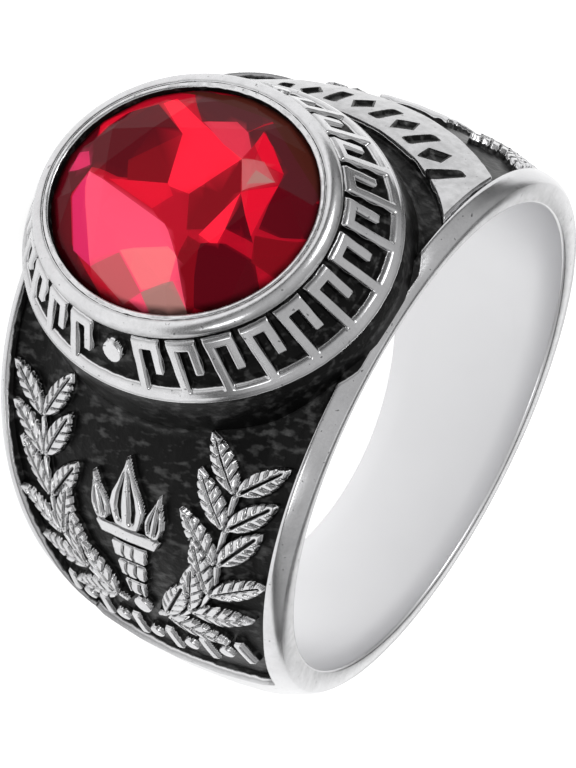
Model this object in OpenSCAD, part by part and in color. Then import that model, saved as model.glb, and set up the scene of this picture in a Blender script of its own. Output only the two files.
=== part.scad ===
// Class ring: one casting with an oval collar and bezel, and a cut oval stone set in it.
// Ring frame: the bore runs along Z, the stone faces -Y, and the shoulders face +X and -X.
// lie() turns the ring so that it lies on one flat side face, which is then at Z = 0.

/* [Band] */
// Diameter of the bore
bore_d = 20.6; // [18:0.1:22]
// Wall of the band under the head, at its middle
head_wall = 2.35; // [2.2:0.05:2.5]
// Wall of the band at the palm side, at its middle
palm_wall = 1.65; // [1.5:0.05:1.9]
// Width of the band at the bore's palm side
palm_w = 6.4; // [5.5:0.1:8]
// Width of the band at the bore's head side
head_w = 16.5; // [16.3:0.1:18]
// Drop of the crowned outside towards the side faces, at the widest line
crown = 0.8; // [0.6:0.05:0.85]
// Width of the rounding along each side face
round_w = 1; // [0.9:0.05:1.05]
// Height of the rounding along each side face
round_h = 0.6; // [0.5:0.05:0.65]

/* [Shoulder panels] */
// Depth of the dark ground below the polished rims
panel_depth = 0.45; // [0.3:0.05:0.6]
// Width of the polished rim beside the panel
rim_w = 0.75; // [0.65:0.05:0.9]
// Angle below the widest line where the panels end
panel_end = 8.5; // [7.5:0.5:14]

/* [Collar] */
// Half of the collar's rim across the shoulders
collar_x = 7.1; // [6.9:0.05:7.5]
// Half of the collar's rim along the finger
collar_z = 8.35; // [8:0.05:8.4]
// Height of the collar's rim over the bore
collar_rise = 2.1; // [2:0.05:2.3]
// Width of the plain lip along the collar's rim, measured up the slope
lip_w = 0.45; // [0.3:0.05:0.7]
// Depth of the collar's dark ground
fret_depth = 0.35; // [0.25:0.05:0.45]
// Hooks of the fret in each of its two runs
fret_count = 12; // [8:1:12]
// Width of a fret's stroke
stroke = 0.46; // [0.3:0.02:0.5]
// Diameter of the two studs that part the runs
stud_d = 1; // [0.6:0.1:1.4]

/* [Bezel] */
// Height of the bezel's top over the bore
bezel_rise = 5.1; // [4.9:0.1:5.6]
// Drop of the bezel's rounded outer side
bezel_drop = 0.45; // [0.3:0.05:0.6]
// Width of the bezel's flat lip beside the stone
bezel_lip = 0.35; // [0.25:0.05:0.45]
// Width of the whole bezel beside the stone
bezel_w = 0.78; // [0.7:0.02:0.9]

/* [Stone] */
// Half of the stone across the shoulders
stone_x = 5; // [4.8:0.05:5.1]
// Half of the stone along the finger
stone_z = 5.9; // [5.7:0.05:6.1]
// Thickness of the stone's girdle
girdle_h = 0.4; // [0.3:0.05:0.6]
// Height of the crown over the girdle
crown_h = 1.1; // [0.9:0.05:1.4]
// Depth of the pavilion under the girdle
pavilion_h = 2.4; // [2:0.1:2.6]
// Depth of the girdle below the bezel's top
set_depth = 0.3; // [0.25:0.05:0.4]
// Clearance between the stone and its seat
seat_gap = 0.05; // [0.03:0.01:0.08]
// Width of the ledge that the stone sits on
ledge_w = 0.45; // [0.3:0.05:0.6]

/* [Shoulder ornament] */
// Length of a laurel leaf
leaf_l = 2.7; // [2.1:0.1:2.9]
// Width of a laurel leaf
leaf_w = 1.05; // [0.8:0.05:1.15]
// Pairs of leaves on each branch of the wreath
leaf_pairs = 6; // [5:1:7]
// Length of the torch's handle
torch_l = 2.9; // [2.2:0.1:3.1]
// Distance of the far shoulder's ribbon from the collar's rim
ribbon_gap = 0.95; // [0.7:0.05:1.2]
// Width of the far shoulder's ribbon
ribbon_w = 2.2; // [1.6:0.1:2.4]
// Marks cut into the ribbon
ribbon_marks = 11; // [7:2:11]
// Length of the bars in the bottom row
bar_l = 1.6; // [1.2:0.1:1.8]

/* [Hidden] */

// Heights over the bore's axis, towards the stone
bore_r = bore_d / 2;
collar_h = bore_r + collar_rise;
bezel_h = bore_r + bezel_rise;
slope_top_h = bezel_h - bezel_drop;
girdle_top = bezel_h - set_depth;
girdle_low = girdle_top - girdle_h;
ledge_h = girdle_low - ledge_w * pavilion_h / stone_x - seat_gap;
pocket_h = girdle_low - pavilion_h - 4 * seat_gap;

// The band's outside is a crowned form whose axis lies a little towards the stone
band_r = bore_r + (head_wall + palm_wall) / 2;
band_shift = (head_wall - palm_wall) / 2;

// Half of the band's width between the side faces, which lean evenly apart towards the head
taper = (head_w - palm_w) / 2 / bore_d;
lean = atan(taper);
function half_w(h) = palm_w / 2 + taper * (h + bore_r);

// Half axes of the head's ovals: [across the shoulders, along the finger]
collar_axes = [collar_x, collar_z];
stone_axes = [stone_x, stone_z];
slope_top_axes = stone_axes + [bezel_w, bezel_w];
slope_run = (collar_axes - slope_top_axes) * [0.5, 0.5];
slope_rise = slope_top_h - collar_h;
slope_l = norm([slope_run, slope_rise]);
ground_in = fret_depth * slope_l / slope_rise;

// Height at which the collar's wall is sunk into the band on each shoulder
collar_foot_h = sqrt(pow(band_r - panel_depth, 2) - pow(collar_x, 2)) - 0.3;
oval_n = 48;
blank = 40;
bite = 0.2;

function oval(axes) = [for (i = [0 : oval_n - 1]) [axes.x * cos(i * 360 / oval_n), axes.y * sin(i * 360 / oval_n)]];

// Turns a drawing of [along the finger, height] so that it is extruded across the shoulders
module across() rotate([180, 0, 0]) rotate([0, 90, 0]) children();

// Turns a drawing of [across the shoulders, along the finger] so that it is extruded towards the stone
module upright() rotate([90, 0, 0]) children();

// How far the crown drops, each row [distance from the middle plane, share of the drop at the widest line]
crown_rows = [[0, 0], [2, 0.1], [4, 0.42], [5.7, 1], [7, 1.15], [8.7, 1.3], [12, 1.5]];
function crown_at(z) = crown * lookup(abs(z), crown_rows);

// The band's outside, lowered by a depth
module crowned(depth) {
    n = len(crown_rows);
    half = [for (i = [0 : n - 1]) [band_r - depth - crown_at(crown_rows[i][0]), crown_rows[i][0]]];
    translate([0, -band_shift, 0]) rotate_extrude($fn = 96) polygon(concat(
        [[0, -half[n - 1].y]], [for (i = [n - 1 : -1 : 1]) [half[i].x, -half[i].y]], half, [[0, half[n - 1].y]]));
}

// Space between the two side faces, each moved inwards by a distance
module between_sides(inwards) {
    low = -bore_r - 4;
    high = bezel_h + 1;
    across() linear_extrude(blank, center = true)
        polygon([[inwards - half_w(low), low], [half_w(low) - inwards, low],
                 [half_w(high) - inwards, high], [inwards - half_w(high), high]]);
}

// Cones that round the band along the side faces: [share of the rounding's width, share of its height].
// Their axes stand square on the side faces, a little towards the palm, where the crown drops less.
round_steps = [[0, 1], [0.3, 0.56], [1, 0]];
palm_drop = crown_at(half_w(-band_r));
head_drop = crown_at(half_w(band_r));
round_r = (band_r + band_r / cos(lean)) / 2 - (palm_drop + head_drop) / 2;
palm_shift = (head_drop - palm_drop) / 2;
module side_cones(depth) {
    low = -round_w - 3;
    for (hand = [0, 1]) mirror([0, 0, hand])
        translate([0, -band_shift, half_w(band_shift)]) rotate([-lean, 0, 0]) translate([0, palm_shift, 0])
            for (k = [0 : len(round_steps) - 2]) {
                outer = [round_r - depth - round_steps[k][1] * round_h, -round_steps[k][0] * round_w];
                inner = [round_r - depth - round_steps[k + 1][1] * round_h, -round_steps[k + 1][0] * round_w];
                grow = (inner.x - outer.x) / (outer.y - inner.y);
                rotate_extrude($fn = 96) polygon([
                    [outer.x + grow * (outer.y - 0.2), 0.2], [blank, 0.2],
                    [blank, low], [outer.x + grow * (outer.y - low), low]]);
            }
}

module outside(depth) {
    difference() {
        crowned(depth);
        side_cones(depth);
    }
}

module band() {
    difference() {
        intersection() {
            outside(0);
            between_sides(0);
        }
        difference() {
            intersection() {
                between_sides(rim_w);
                panel_zone();
            }
            outside(panel_depth);
        }
    }
}

// Everything above the line where the panels end
module panel_zone() {
    ray = blank * [cos(panel_end), sin(panel_end)];
    linear_extrude(blank, center = true)
        polygon([[0, 0], ray, [blank, -blank], [-blank, -blank], [-ray.x, ray.y]]);
}

// A closed solid through ovals, each row [half axes, height]
module oval_stack(rows) {
    n = oval_n;
    count = len(rows);
    points = [for (row = rows) for (p = oval(row[0])) [p.x, p.y, row[1]]];
    sides = [for (k = [0 : count - 2]) for (i = [0 : n - 1])
        let (j = (i + 1) % n) [k * n + i, (k + 1) * n + i, (k + 1) * n + j, k * n + j]];
    caps = [[for (i = [0 : n - 1]) i], [for (i = [n - 1 : -1 : 0]) (count - 1) * n + i]];
    polyhedron(points, concat(sides, caps), convexity = 4);
}

// Half axes and height on the collar's slope, a share of the way up it
function slope_row(share, inwards = 0) = [
    collar_axes + share * (slope_top_axes - collar_axes) - [inwards, inwards],
    collar_h + share * slope_rise];

module head() {
    lip_share = lip_w / slope_l;
    upright() oval_stack([
        slope_row(0.02, ground_in),
        slope_row(1, ground_in),
        slope_row(1),
        [stone_axes + [bezel_lip, bezel_lip], bezel_h]]);
    intersection() {
        upright() oval_stack([[collar_axes, collar_foot_h], slope_row(0), slope_row(lip_share)]);
        between_sides(0.1);
    }
}

// Puts a drawing of [along the rim, up the slope] on the collar at an angle of its oval
module on_collar(angle) {
    low = slope_row(0);
    high = slope_row(1);
    p = [low[0].x * cos(angle), -low[1], low[0].y * sin(angle)];
    q = [high[0].x * cos(angle), -high[1], high[0].y * sin(angle)];
    up = (q - p) / norm(q - p);
    along = [-low[0].x * sin(angle), 0, low[0].y * cos(angle)];
    out_raw = cross(along, up);
    out = out_raw / norm(out_raw);
    side = cross(up, out);
    multmatrix([[side.x, up.x, out.x, p.x], [side.y, up.y, out.y, p.y], [side.z, up.z, out.z, p.z]])
        translate([0, 0, -fret_depth - bite]) linear_extrude(fret_depth + bite) children();
}

// Lengths walked along the collar's rim, and the angle of its oval after a share of the whole
rim_walk = [for (i = 0, s = 0; i <= 180;
    s = s + norm([collar_x * sin(2 * i + 1), collar_z * cos(2 * i + 1)]) * 2 * PI / 180, i = i + 1) [s, 2 * i]];
rim_l = rim_walk[180][0];
function rim_angle(share) = lookup(share * rim_l, rim_walk);

// One hook of the fret: a post from the lip, a bar along the bezel and a short return
fret_pitch = (rim_l / 2 - 2 * stud_d) / fret_count;
module fret_hook() {
    w = fret_pitch * 0.35;
    low = lip_w / 2;
    high = slope_l - 0.25;
    polygon([[-w, low], [stroke - w, low], [stroke - w, high - stroke], [w - stroke, high - stroke],
             [w - stroke, lip_w + 0.7], [w, lip_w + 0.7], [w, high], [-w, high]]);
}

module collar_fret() {
    for (run = [0, 1]) {
        on_collar(run * 180) translate([0, (slope_l + lip_w) / 2]) circle(d = stud_d, $fn = 24);
        for (i = [0 : fret_count - 1])
            on_collar(rim_angle(run / 2 + (stud_d + (i + 0.5) * fret_pitch) / rim_l)) fret_hook();
    }
}

// Puts a drawing of [along the finger, up] on the +X shoulder, s up its surface from the widest line
module on_shoulder(z, s, turn = 0, foot = panel_depth + 3 * bite) {
    tilt = s / band_r * 180 / PI;
    translate([0, -band_shift, z]) rotate([0, 0, -tilt]) translate([band_r - crown_at(z) - foot, 0, 0])
        across() rotate([0, 0, turn]) linear_extrude(3) children();
}

// Ends the relief just below the polished rims and a little inside the panel's walls
module in_panel() {
    intersection() {
        union() children();
        outside(0.04);
        between_sides(rim_w - 0.05);
    }
}

// Half of the panel's width at a way up the shoulder
function panel_half(s) =
    half_w(band_shift + band_r * sin(s / band_r * 180 / PI)) - rim_w;

module leaf(l = leaf_l, w = leaf_w)
    polygon([[0, 0], [0.25 * l, 0.4 * w], [0.5 * l, 0.5 * w], [0.8 * l, 0.28 * w],
             [l, 0], [0.8 * l, -0.28 * w], [0.5 * l, -0.5 * w], [0.25 * l, -0.4 * w]]);

module both_hands() {
    children();
    mirror([0, 0, 1]) children();
}

// The wreath's branch: it leaves the torch's foot and widens upwards with the panel, as far as the collar
wreath_foot = 2.2;
wreath_rise = 5.1;
wreath_in = 2.3;
leaf_spread = 38;
stem_w = 0.3;
function branch_at(share) =
    let (a = 12 + 122 * share, s = wreath_foot + wreath_rise * (1 - cos(a)))
    [(panel_half(s) - wreath_in) * sin(min(a * 1.25, 100)), s];
function branch_turn(share, step = 0.01) =
    let (d = branch_at(share + step) - branch_at(share - step)) atan2(d.y, d.x);

module wreath_branch() {
    joints = 2 * leaf_pairs;
    for (i = [0 : joints - 2]) {
        from = branch_at(i / joints);
        step = norm(branch_at((i + 1) / joints) - from);
        on_shoulder(from.x, from.y, branch_turn((i + 0.5) / joints, 0.5 / joints))
            translate([-0.06, -stem_w / 2]) square([step + 0.12, stem_w]);
    }
    for (i = [0 : leaf_pairs - 1], hand = [-1, 1]) {
        share = (i + 0.3) / leaf_pairs;
        base = branch_at(share);
        on_shoulder(base.x, base.y, branch_turn(share) + hand * leaf_spread) translate([0.05, hand * 0.05]) leaf();
    }
}

// Row of bars and beads under the motif
row_s = 0.45;
module bottom_row() {
    for (k = [-5 : 5]) on_shoulder(k * 0.88, row_s + 0.02 * k * k, 2 * k)
        if (k % 2 == 0) circle(d = 0.72, $fn = 12);
        else translate([-0.24, -bar_l / 2]) square([0.48, bar_l]);
}

module torch() {
    foot_s = wreath_foot + 0.85;
    bowl_s = foot_s + torch_l;
    part_l = torch_l / 3;
    on_shoulder(0, wreath_foot + 0.2) circle(d = 0.9, $fn = 12);
    for (step = [0 : 2]) on_shoulder(0, foot_s + step * part_l) {
        w = 0.45 + 0.18 * step;
        polygon([[-w, 0], [w, 0], [w + 0.12, part_l - 0.16], [-w - 0.12, part_l - 0.16]]);
    }
    on_shoulder(0, bowl_s) polygon([[-1.35, 0], [1.35, 0], [1.7, 0.6], [-1.7, 0.6]]);
    on_shoulder(0, bowl_s + 0.75)
        polygon([[-0.6, 0], [0.6, 0], [0.9, 0.9], [0.45, 2], [0, 3.2], [-0.45, 2], [-0.9, 0.9]]);
    for (hand = [-1, 1]) on_shoulder(hand * 1.25, bowl_s + 0.75, hand * -12)
        polygon([[-0.35, 0], [0.35, 0], [0.45, 0.8], [0, 2.1], [-0.45, 0.8]]);
}

module near_ornament() in_panel() {
    both_hands() wreath_branch();
    torch();
    bottom_row();
}

// Ribbon along the collar's foot on the far shoulder, with marks cut into it
ribbon_in = collar_axes + [ribbon_gap, ribbon_gap];
ribbon_out = ribbon_in + [ribbon_w, ribbon_w];
ribbon_reach = 60;
module ribbon() {
    arc = [for (i = [-8 : 8]) i * ribbon_reach / 8];
    middle = (ribbon_in + ribbon_out) / 2;
    difference() {
        intersection() {
            outside(0.06);
            between_sides(rim_w + 0.3);
            upright() linear_extrude(blank) polygon(concat(
                [for (a = arc) [ribbon_out.x * cos(a), ribbon_out.y * sin(a)]],
                [for (i = [16 : -1 : 0]) [ribbon_in.x * cos(arc[i]), ribbon_in.y * sin(arc[i])]]));
        }
        for (i = [0 : ribbon_marks - 1]) {
            a = (i - (ribbon_marks - 1) / 2) * 72 / ribbon_marks;
            s = acos(middle.x * cos(a) / band_r) * band_r * PI / 180;
            on_shoulder(middle.y * sin(a), s, a * 0.9, panel_depth * 0.75)
                if (i % 2 == 0) translate([-0.24, -0.75]) square([0.48, 1.5]);
                else polygon([[-0.42, 0], [0, 0.7], [0.42, 0], [0, -0.7]]);
        }
    }
}

// Shield of upright pales under a bar, between two sprays
shield_s = 1.75;
module shield() {
    for (k = [-1.5 : 1 : 1.5]) on_shoulder(k * 0.95, shield_s + 0.25 * k * k)
        translate([-0.32, 0]) square([0.64, 2.7 - 0.25 * k * k]);
    on_shoulder(0, shield_s + 2.95) translate([-1.8, 0]) square([3.6, 0.6]);
}

module far_ornament() {
    ribbon();
    in_panel() {
        shield();
        bottom_row();
        both_hands() for (i = [0 : 2], hand = [-1, 1]) {
            s = shield_s - 0.2 + 1.3 * i;
            on_shoulder(panel_half(s) - 1.65, s, 80 + hand * 34)
                translate([0.05, hand * 0.05]) leaf(leaf_l * 0.8, leaf_w);
        }
    }
}

// Where the stone sits: a pocket with a ledge, and a mouth that grips the girdle
module seat() {
    upright() {
        translate([0, 0, pocket_h]) linear_extrude(girdle_top - pocket_h)
            polygon(oval(stone_axes - [ledge_w, ledge_w]));
        translate([0, 0, ledge_h]) linear_extrude(girdle_top + seat_gap - ledge_h)
            polygon(oval(stone_axes + [seat_gap, seat_gap]));
        translate([0, 0, girdle_top]) linear_extrude(bezel_rise)
            polygon(oval(stone_axes - [seat_gap, seat_gap]));
    }
}

// Facets of the stone, as shares of the girdle's half axes
table_share = 0.58;
star_share = 0.8;
lower_share = 0.36;
culet_share = 0.04;
facets_over = 0.02;

// Eight-fold cut: a table or culet, points part of the way out, and the edge, with flat facets between
module facets(from_h, tip_share, mid_share, height) {
    rim = 1 + facets_over;
    mid_h = height * (rim - mid_share * cos(22.5)) / (rim - tip_share);
    tip = [for (i = [0 : 7]) [tip_share * cos(45 * i), tip_share * sin(45 * i), height]];
    mid = [for (i = [0 : 7]) [mid_share * cos(45 * i + 22.5), mid_share * sin(45 * i + 22.5), mid_h]];
    edge = [for (j = [0 : 15]) [rim * cos(22.5 * j), rim * sin(22.5 * j), 0]];
    translate([0, 0, from_h]) hull()
        polyhedron([for (p = concat(tip, mid, edge)) [p.x * stone_x, p.y * stone_z, p.z]],
                   [[for (i = [0 : 7]) i], [for (i = [15 : -1 : 0]) 16 + i], [for (i = [7 : -1 : 0]) 8 + i]]);
}

// The lowest side face becomes the floor, and the ring's middle comes over the origin
function front(h, z) = h * cos(lean) + z * sin(lean);
front_y = max(front(girdle_top + crown_h, table_share * stone_z), front(bezel_h, stone_z + bezel_lip));
back_y = half_w(band_shift) * sin(lean) - band_shift * cos(lean) + max([for (step = round_steps)
    (palm_shift + round_r - step[1] * round_h) * cos(2 * lean) - step[0] * round_w * sin(2 * lean)]);
module lie() {
    translate([0, (front_y - back_y) / 2, half_w(0) * cos(lean)]) rotate([-lean, 0, 0]) children();
}

module ring_casting() color("silver") lie() {
    difference() {
        union() {
            band();
            head();
            collar_fret();
            near_ornament();
            mirror([1, 0, 0]) far_ornament();
        }
        cylinder(r = bore_r, h = blank, center = true, $fn = 96);
        seat();
    }
}

module stone() color("crimson") lie() upright() {
    over_h = facets_over / (1 - table_share);
    intersection() {
        translate([0, 0, pocket_h]) linear_extrude(bezel_rise) polygon(oval(stone_axes));
        union() {
            facets(girdle_top - crown_h * over_h, table_share, star_share, crown_h * (1 + over_h));
            translate([0, 0, girdle_low]) linear_extrude(girdle_h) polygon(oval(stone_axes));
            mirror([0, 0, 1]) facets(-girdle_low, culet_share, lower_share, pavilion_h);
        }
    }
}

ring_casting();
stone();
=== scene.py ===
"""Class ring: a cast steel band with an oval collar, ornamented shoulders and a cut red stone.

Shapes are worked out in millimetres in the ring's own frame, as (x, h, z): x across the shoulders,
h the height over the bore's axis towards the stone, and z along the finger. to_row() lays the ring
on its side face, in metres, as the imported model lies. In a shoulder's drawing, z goes across the
band and s up it along the outside, from the level of the band's axis.
"""

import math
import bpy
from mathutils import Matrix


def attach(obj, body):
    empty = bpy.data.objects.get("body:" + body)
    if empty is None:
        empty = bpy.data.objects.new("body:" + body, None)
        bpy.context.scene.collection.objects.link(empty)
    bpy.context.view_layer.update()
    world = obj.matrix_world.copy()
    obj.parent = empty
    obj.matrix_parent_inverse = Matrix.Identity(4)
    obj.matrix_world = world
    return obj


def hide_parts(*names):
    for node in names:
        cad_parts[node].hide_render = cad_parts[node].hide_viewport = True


bl_info = {
    "name": "Class ring",
    "version": (1, 0, 0),
    "blender": (4, 5, 0),
    "location": "View3D > Sidebar > Ring",
    "description": "Builds a class ring with a fret collar, two ornamented shoulders and a red stone",
    "category": "Object",
}

from functools import partial

import bmesh
import bpy
import numpy as np
from mathutils import Matrix, Vector

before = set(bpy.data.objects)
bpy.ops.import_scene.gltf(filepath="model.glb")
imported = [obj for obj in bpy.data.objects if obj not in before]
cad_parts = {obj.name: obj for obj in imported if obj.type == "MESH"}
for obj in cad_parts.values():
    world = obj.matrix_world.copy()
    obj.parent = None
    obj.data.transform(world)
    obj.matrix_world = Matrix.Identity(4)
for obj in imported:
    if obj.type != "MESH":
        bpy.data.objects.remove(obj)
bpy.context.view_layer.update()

# Sizes that the solids have too, in millimetres
BORE_R = 10.3
HEAD_WALL, PALM_WALL = 2.35, 1.65
PALM_W, HEAD_W = 6.4, 16.5
CROWN = 0.8
# How the crown falls away: distances from the middle plane, and shares of CROWN
CROWN_STEPS = (0, 2, 4, 5.7, 7, 8.7, 12), (0, 0.1, 0.42, 1, 1.15, 1.3, 1.5)
ROUND_W, ROUND_H = 1.0, 0.6
# The rounding beside the side face: shares of its width inwards, and of its height that are left
ROUND_STEPS = (0, 1), (0.3, 0.56), (1, 0)
RIM_W = 0.75
PANEL_DEPTH = 0.45
COLLAR = np.array([7.1, 8.35])
COLLAR_H = 12.4
STONE = np.array([5.0, 5.9])
BEZEL_H, BEZEL_DROP, BEZEL_LIP, BEZEL_W = 15.4, 0.45, 0.35, 0.78
LIP_W, FRET_DEPTH = 0.45, 0.35
GIRDLE_H, CROWN_H, PAVILION_H, SET_DEPTH = 0.4, 1.1, 2.4, 0.3
# Facets of the stone, as shares of the girdle's half axes
TABLE_SHARE, STAR_SHARE, LOWER_SHARE, CULET_SHARE = 0.58, 0.8, 0.36, 0.04
FACETS_OVER = 0.02
# Where the shoulders' panels end towards the palm, in degrees below the band's axis
PANEL_END = 8.5

BAND_R = BORE_R + (HEAD_WALL + PALM_WALL) / 2
BAND_SHIFT = (HEAD_WALL - PALM_WALL) / 2
TAPER = (HEAD_W - PALM_W) / 2 / (2 * BORE_R)
LEAN = math.atan(TAPER)
COS, SIN = math.cos(LEAN), math.sin(LEAN)
GIRDLE_TOP = BEZEL_H - SET_DEPTH
GIRDLE_LOW = GIRDLE_TOP - GIRDLE_H
BEZEL_FOOT_H = BEZEL_H - BEZEL_DROP
BEZEL_FOOT = STONE + BEZEL_W
SLOPE_L = math.hypot(float(np.mean(COLLAR - BEZEL_FOOT)), BEZEL_FOOT_H - COLLAR_H)


def half_w(h):
    """Half of the band's width between its side faces, at a height."""
    return PALM_W / 2 + TAPER * (h + BORE_R)


def crown_at(z):
    """How far the crowned outside has dropped at a distance from the middle plane."""
    return CROWN * np.interp(np.abs(z), *CROWN_STEPS)


PALM_DROP, HEAD_DROP = (float(crown_at(half_w(h))) for h in (-BAND_R, BAND_R))
ROUND_R = (BAND_R + BAND_R / COS) / 2 - (PALM_DROP + HEAD_DROP) / 2
PALM_SHIFT = (HEAD_DROP - PALM_DROP) / 2
FRONT_Y = (GIRDLE_TOP + CROWN_H) * COS + TABLE_SHARE * STONE[1] * SIN
BACK_Y = half_w(BAND_SHIFT) * SIN - BAND_SHIFT * COS + max(
    (PALM_SHIFT + ROUND_R - low * ROUND_H) * math.cos(2 * LEAN) - deep * ROUND_W * math.sin(2 * LEAN)
    for deep, low in ROUND_STEPS)
BORE_Y = (FRONT_Y - BACK_Y) / 2
BORE_Z = half_w(0) * COS


def to_row(x, h, z):
    """Points of the ring's own frame, in millimetres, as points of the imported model, in metres."""
    x, h, z = np.broadcast_arrays(x, h, z)
    return np.stack([x, -h * COS + z * SIN + BORE_Y, h * SIN + z * COS + BORE_Z], -1) / 1000


# The ring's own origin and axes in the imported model
ORIGIN = Vector(to_row(0, 0, 0))
ACROSS, UP, ALONG = ((Vector(to_row(*axis)) - ORIGIN).normalized() for axis in np.eye(3))


def smooth(edge0, edge1, value):
    """0 at edge0, 1 at edge1 and past it, and an S curve between."""
    t = np.clip((value - edge0) / (edge1 - edge0), 0, 1)
    return t * t * (3 - 2 * t)


def off_oval(x, z, axes):
    """About how far points lie outside an oval with these half axes."""
    return (np.hypot(x / axes[0], z / axes[1]) - 1) * math.sqrt(axes[0] * axes[1])


# ---- meshes

WELD = 2e-6  # metres


def finish_piece(obj, slot, *finishes, flat=False):
    """Puts a piece on the ring's one body, and gives it its materials. slot is not used."""
    for finish in finishes:
        obj.data.materials.append(bpy.data.materials[finish])
    bpy.context.collection.objects.link(obj)
    if not flat:
        obj.data.shade_smooth()
    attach(obj, "root")


def grid_piece(name, columns, rows, place, closed=False):
    """A grid that place(u, v) bends into shape: it returns points in metres, and the shade that sets the
    antique black finish and, between, the steel's painted shade and highlight.

    closed welds the last row to the first one, and the last column to the first one.
    """
    bm = bmesh.new()
    bmesh.ops.create_grid(bm, x_segments=columns, y_segments=rows, size=1)
    mesh = bpy.data.meshes.new(name)
    bm.to_mesh(mesh)
    bm.free()
    flat = np.empty(len(mesh.vertices) * 3)
    mesh.vertices.foreach_get("co", flat)
    uv = (flat.reshape(-1, 3)[:, :2] + 1) / 2
    points, shade = place(uv[:, 0], uv[:, 1])
    mesh.vertices.foreach_set("co", points.ravel())
    mesh.attributes.new("antique", "FLOAT", "POINT").data.foreach_set("value", shade.astype(np.float32))
    bm = bmesh.new()
    bm.from_mesh(mesh)
    if closed:
        bmesh.ops.remove_doubles(bm, verts=bm.verts, dist=WELD)
    bmesh.ops.recalc_face_normals(bm, faces=bm.faces)
    bm.to_mesh(mesh)
    bm.free()
    return bpy.data.objects.new(name, mesh)


# ---- the band

# The outside is found by halving between these radii
LEAST_R, MOST_R, HALVINGS = 9.0, 14.0, 24
# The share of its height that the rounding falls evenly, and how near the side face the rest goes
ROUND_EVEN, ROUND_NEAR = 0.8, 0.1


def lesser(a, b, blend=0.16):
    """The smaller of two lengths, with a soft change from one to the other."""
    t = np.clip(0.5 + 0.5 * (b - a) / blend, 0, 1)
    return b + (a - b) * t - blend * t * (1 - t) / 2


def widest(angle, inside):
    """The largest radius in each direction at which inside(radius) still holds."""
    low, high = np.full_like(angle, LEAST_R), np.full_like(angle, MOST_R)
    for _ in range(HALVINGS):
        middle = (low + high) / 2
        held = inside(middle)
        low, high = np.where(held, middle, low), np.where(held, high, middle)
    return middle


def outer_radius(angle, z_at):
    """Radius of the band's outside in a direction from its axis, at the z that z_at gives for a height."""

    def in_crown(r):
        return r < BAND_R - crown_at(z_at(BAND_SHIFT + r * np.cos(angle)))

    def in_rounding(r):
        rise = r * np.cos(angle)
        out = np.abs(z_at(BAND_SHIFT + rise)) - half_w(BAND_SHIFT)
        deep = rise * SIN - out * COS
        fall = ROUND_EVEN * (1 - deep / ROUND_W) + (1 - ROUND_EVEN) * np.exp(-deep / ROUND_NEAR)
        return np.hypot(r * np.sin(angle), rise * COS + out * SIN + PALM_SHIFT) < ROUND_R - ROUND_H * fall

    return lesser(widest(angle, in_crown), widest(angle, in_rounding))


def panel_half(tilt):
    """Half of a panel's width, at an angle up the shoulder."""
    return half_w(BAND_SHIFT + BAND_R * np.sin(tilt)) - RIM_W


def near_collar(x, h, z):
    """1 beside the collar's wall, where the band stays black, fading out from 0.1 to 0.3 mm off it."""
    return smooth(0.3, 0.1, off_oval(x, z, COLLAR)) * (h > 0)


# From this far in from the side face, the antique finish stays beside the collar
BLACK_FROM = 0.25
# Radius of the small rounding at the bore's edge
BORE_EDGE = 0.14


def bore_row(angle, grow, inset, share=1.0, shade=0.0):
    """A row of the bore, or of the small rounding at its edge: its x, h, z and shade."""
    x, h = (BORE_R + grow) * np.sin(angle), (BORE_R + grow) * np.cos(angle)
    return x, h, (half_w(h) - inset) * share, shade


def outer_row(angle, inset, share=1.0, down=0.0, dark=0.0):
    """A row of the outside, which lies lower and is darker in the panels: its x, h, z and shade."""

    def z_at(h):
        return (half_w(h) - inset) * share

    in_panel = np.abs((np.degrees(angle) % 360) - 180) > 90 - PANEL_END
    radius = outer_radius(angle, z_at) - down * PANEL_DEPTH * in_panel
    x, h = radius * np.sin(angle), BAND_SHIFT + radius * np.cos(angle)
    beside = near_collar(x, h, z_at(h)) * (inset > BLACK_FROM)
    return x, h, z_at(h), np.maximum(dark * in_panel, beside)


def bore_edge(turn):
    """The row where the bore's small rounding has turned by an angle, with a painted shade on the rounding."""
    t = math.radians(turn)
    return bore_row, BORE_EDGE * (1 - math.cos(t)), BORE_EDGE * (1 - math.sin(t)), 1, 0.26


# The panels' walls lean, and the band's own ground lies under the relief by a share of the panel's depth
WALL_LEAN, WALL_TOP, GROUND = 0.02, 0.12, 1.15
# Half of the band's section, from the middle of the bore round to the middle of the outside
BAND_STEPS = [
    *((bore_row, 0, BORE_EDGE, share) for share in (0, 0.35, 0.7, 1)),
    *(bore_edge(turn) for turn in (30, 60, 90)),
    *((outer_row, inset) for inset in (0, 0.02, 0.06, 0.12, 0.2, 0.3, 0.42, 0.56, RIM_W - 0.05)),
    # The top of the rim's wall, at 0.4, takes the painted highlight beside the black
    (outer_row, RIM_W, 1, WALL_TOP, 0.4),
    *((outer_row, RIM_W + WALL_LEAN, share, GROUND, 1.0) for share in (1, 0.9, 0.75, 0.6, 0.45, 0.3, 0.15, 0)),
]
BAND_ROWS = 2 * len(BAND_STEPS)
# Sections every 1.25 degrees, with one more close to each side of a panel's end
PANEL_ENDS = {end + d for end in (90 + PANEL_END, 270 - PANEL_END) for d in (-0.3, 0.3)}
BAND_ANGLES = np.radians(sorted(set(np.arange(0, 360.1, 1.25).round(3)) | PANEL_ENDS))
BAND_COLUMNS = len(BAND_ANGLES) - 1


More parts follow.
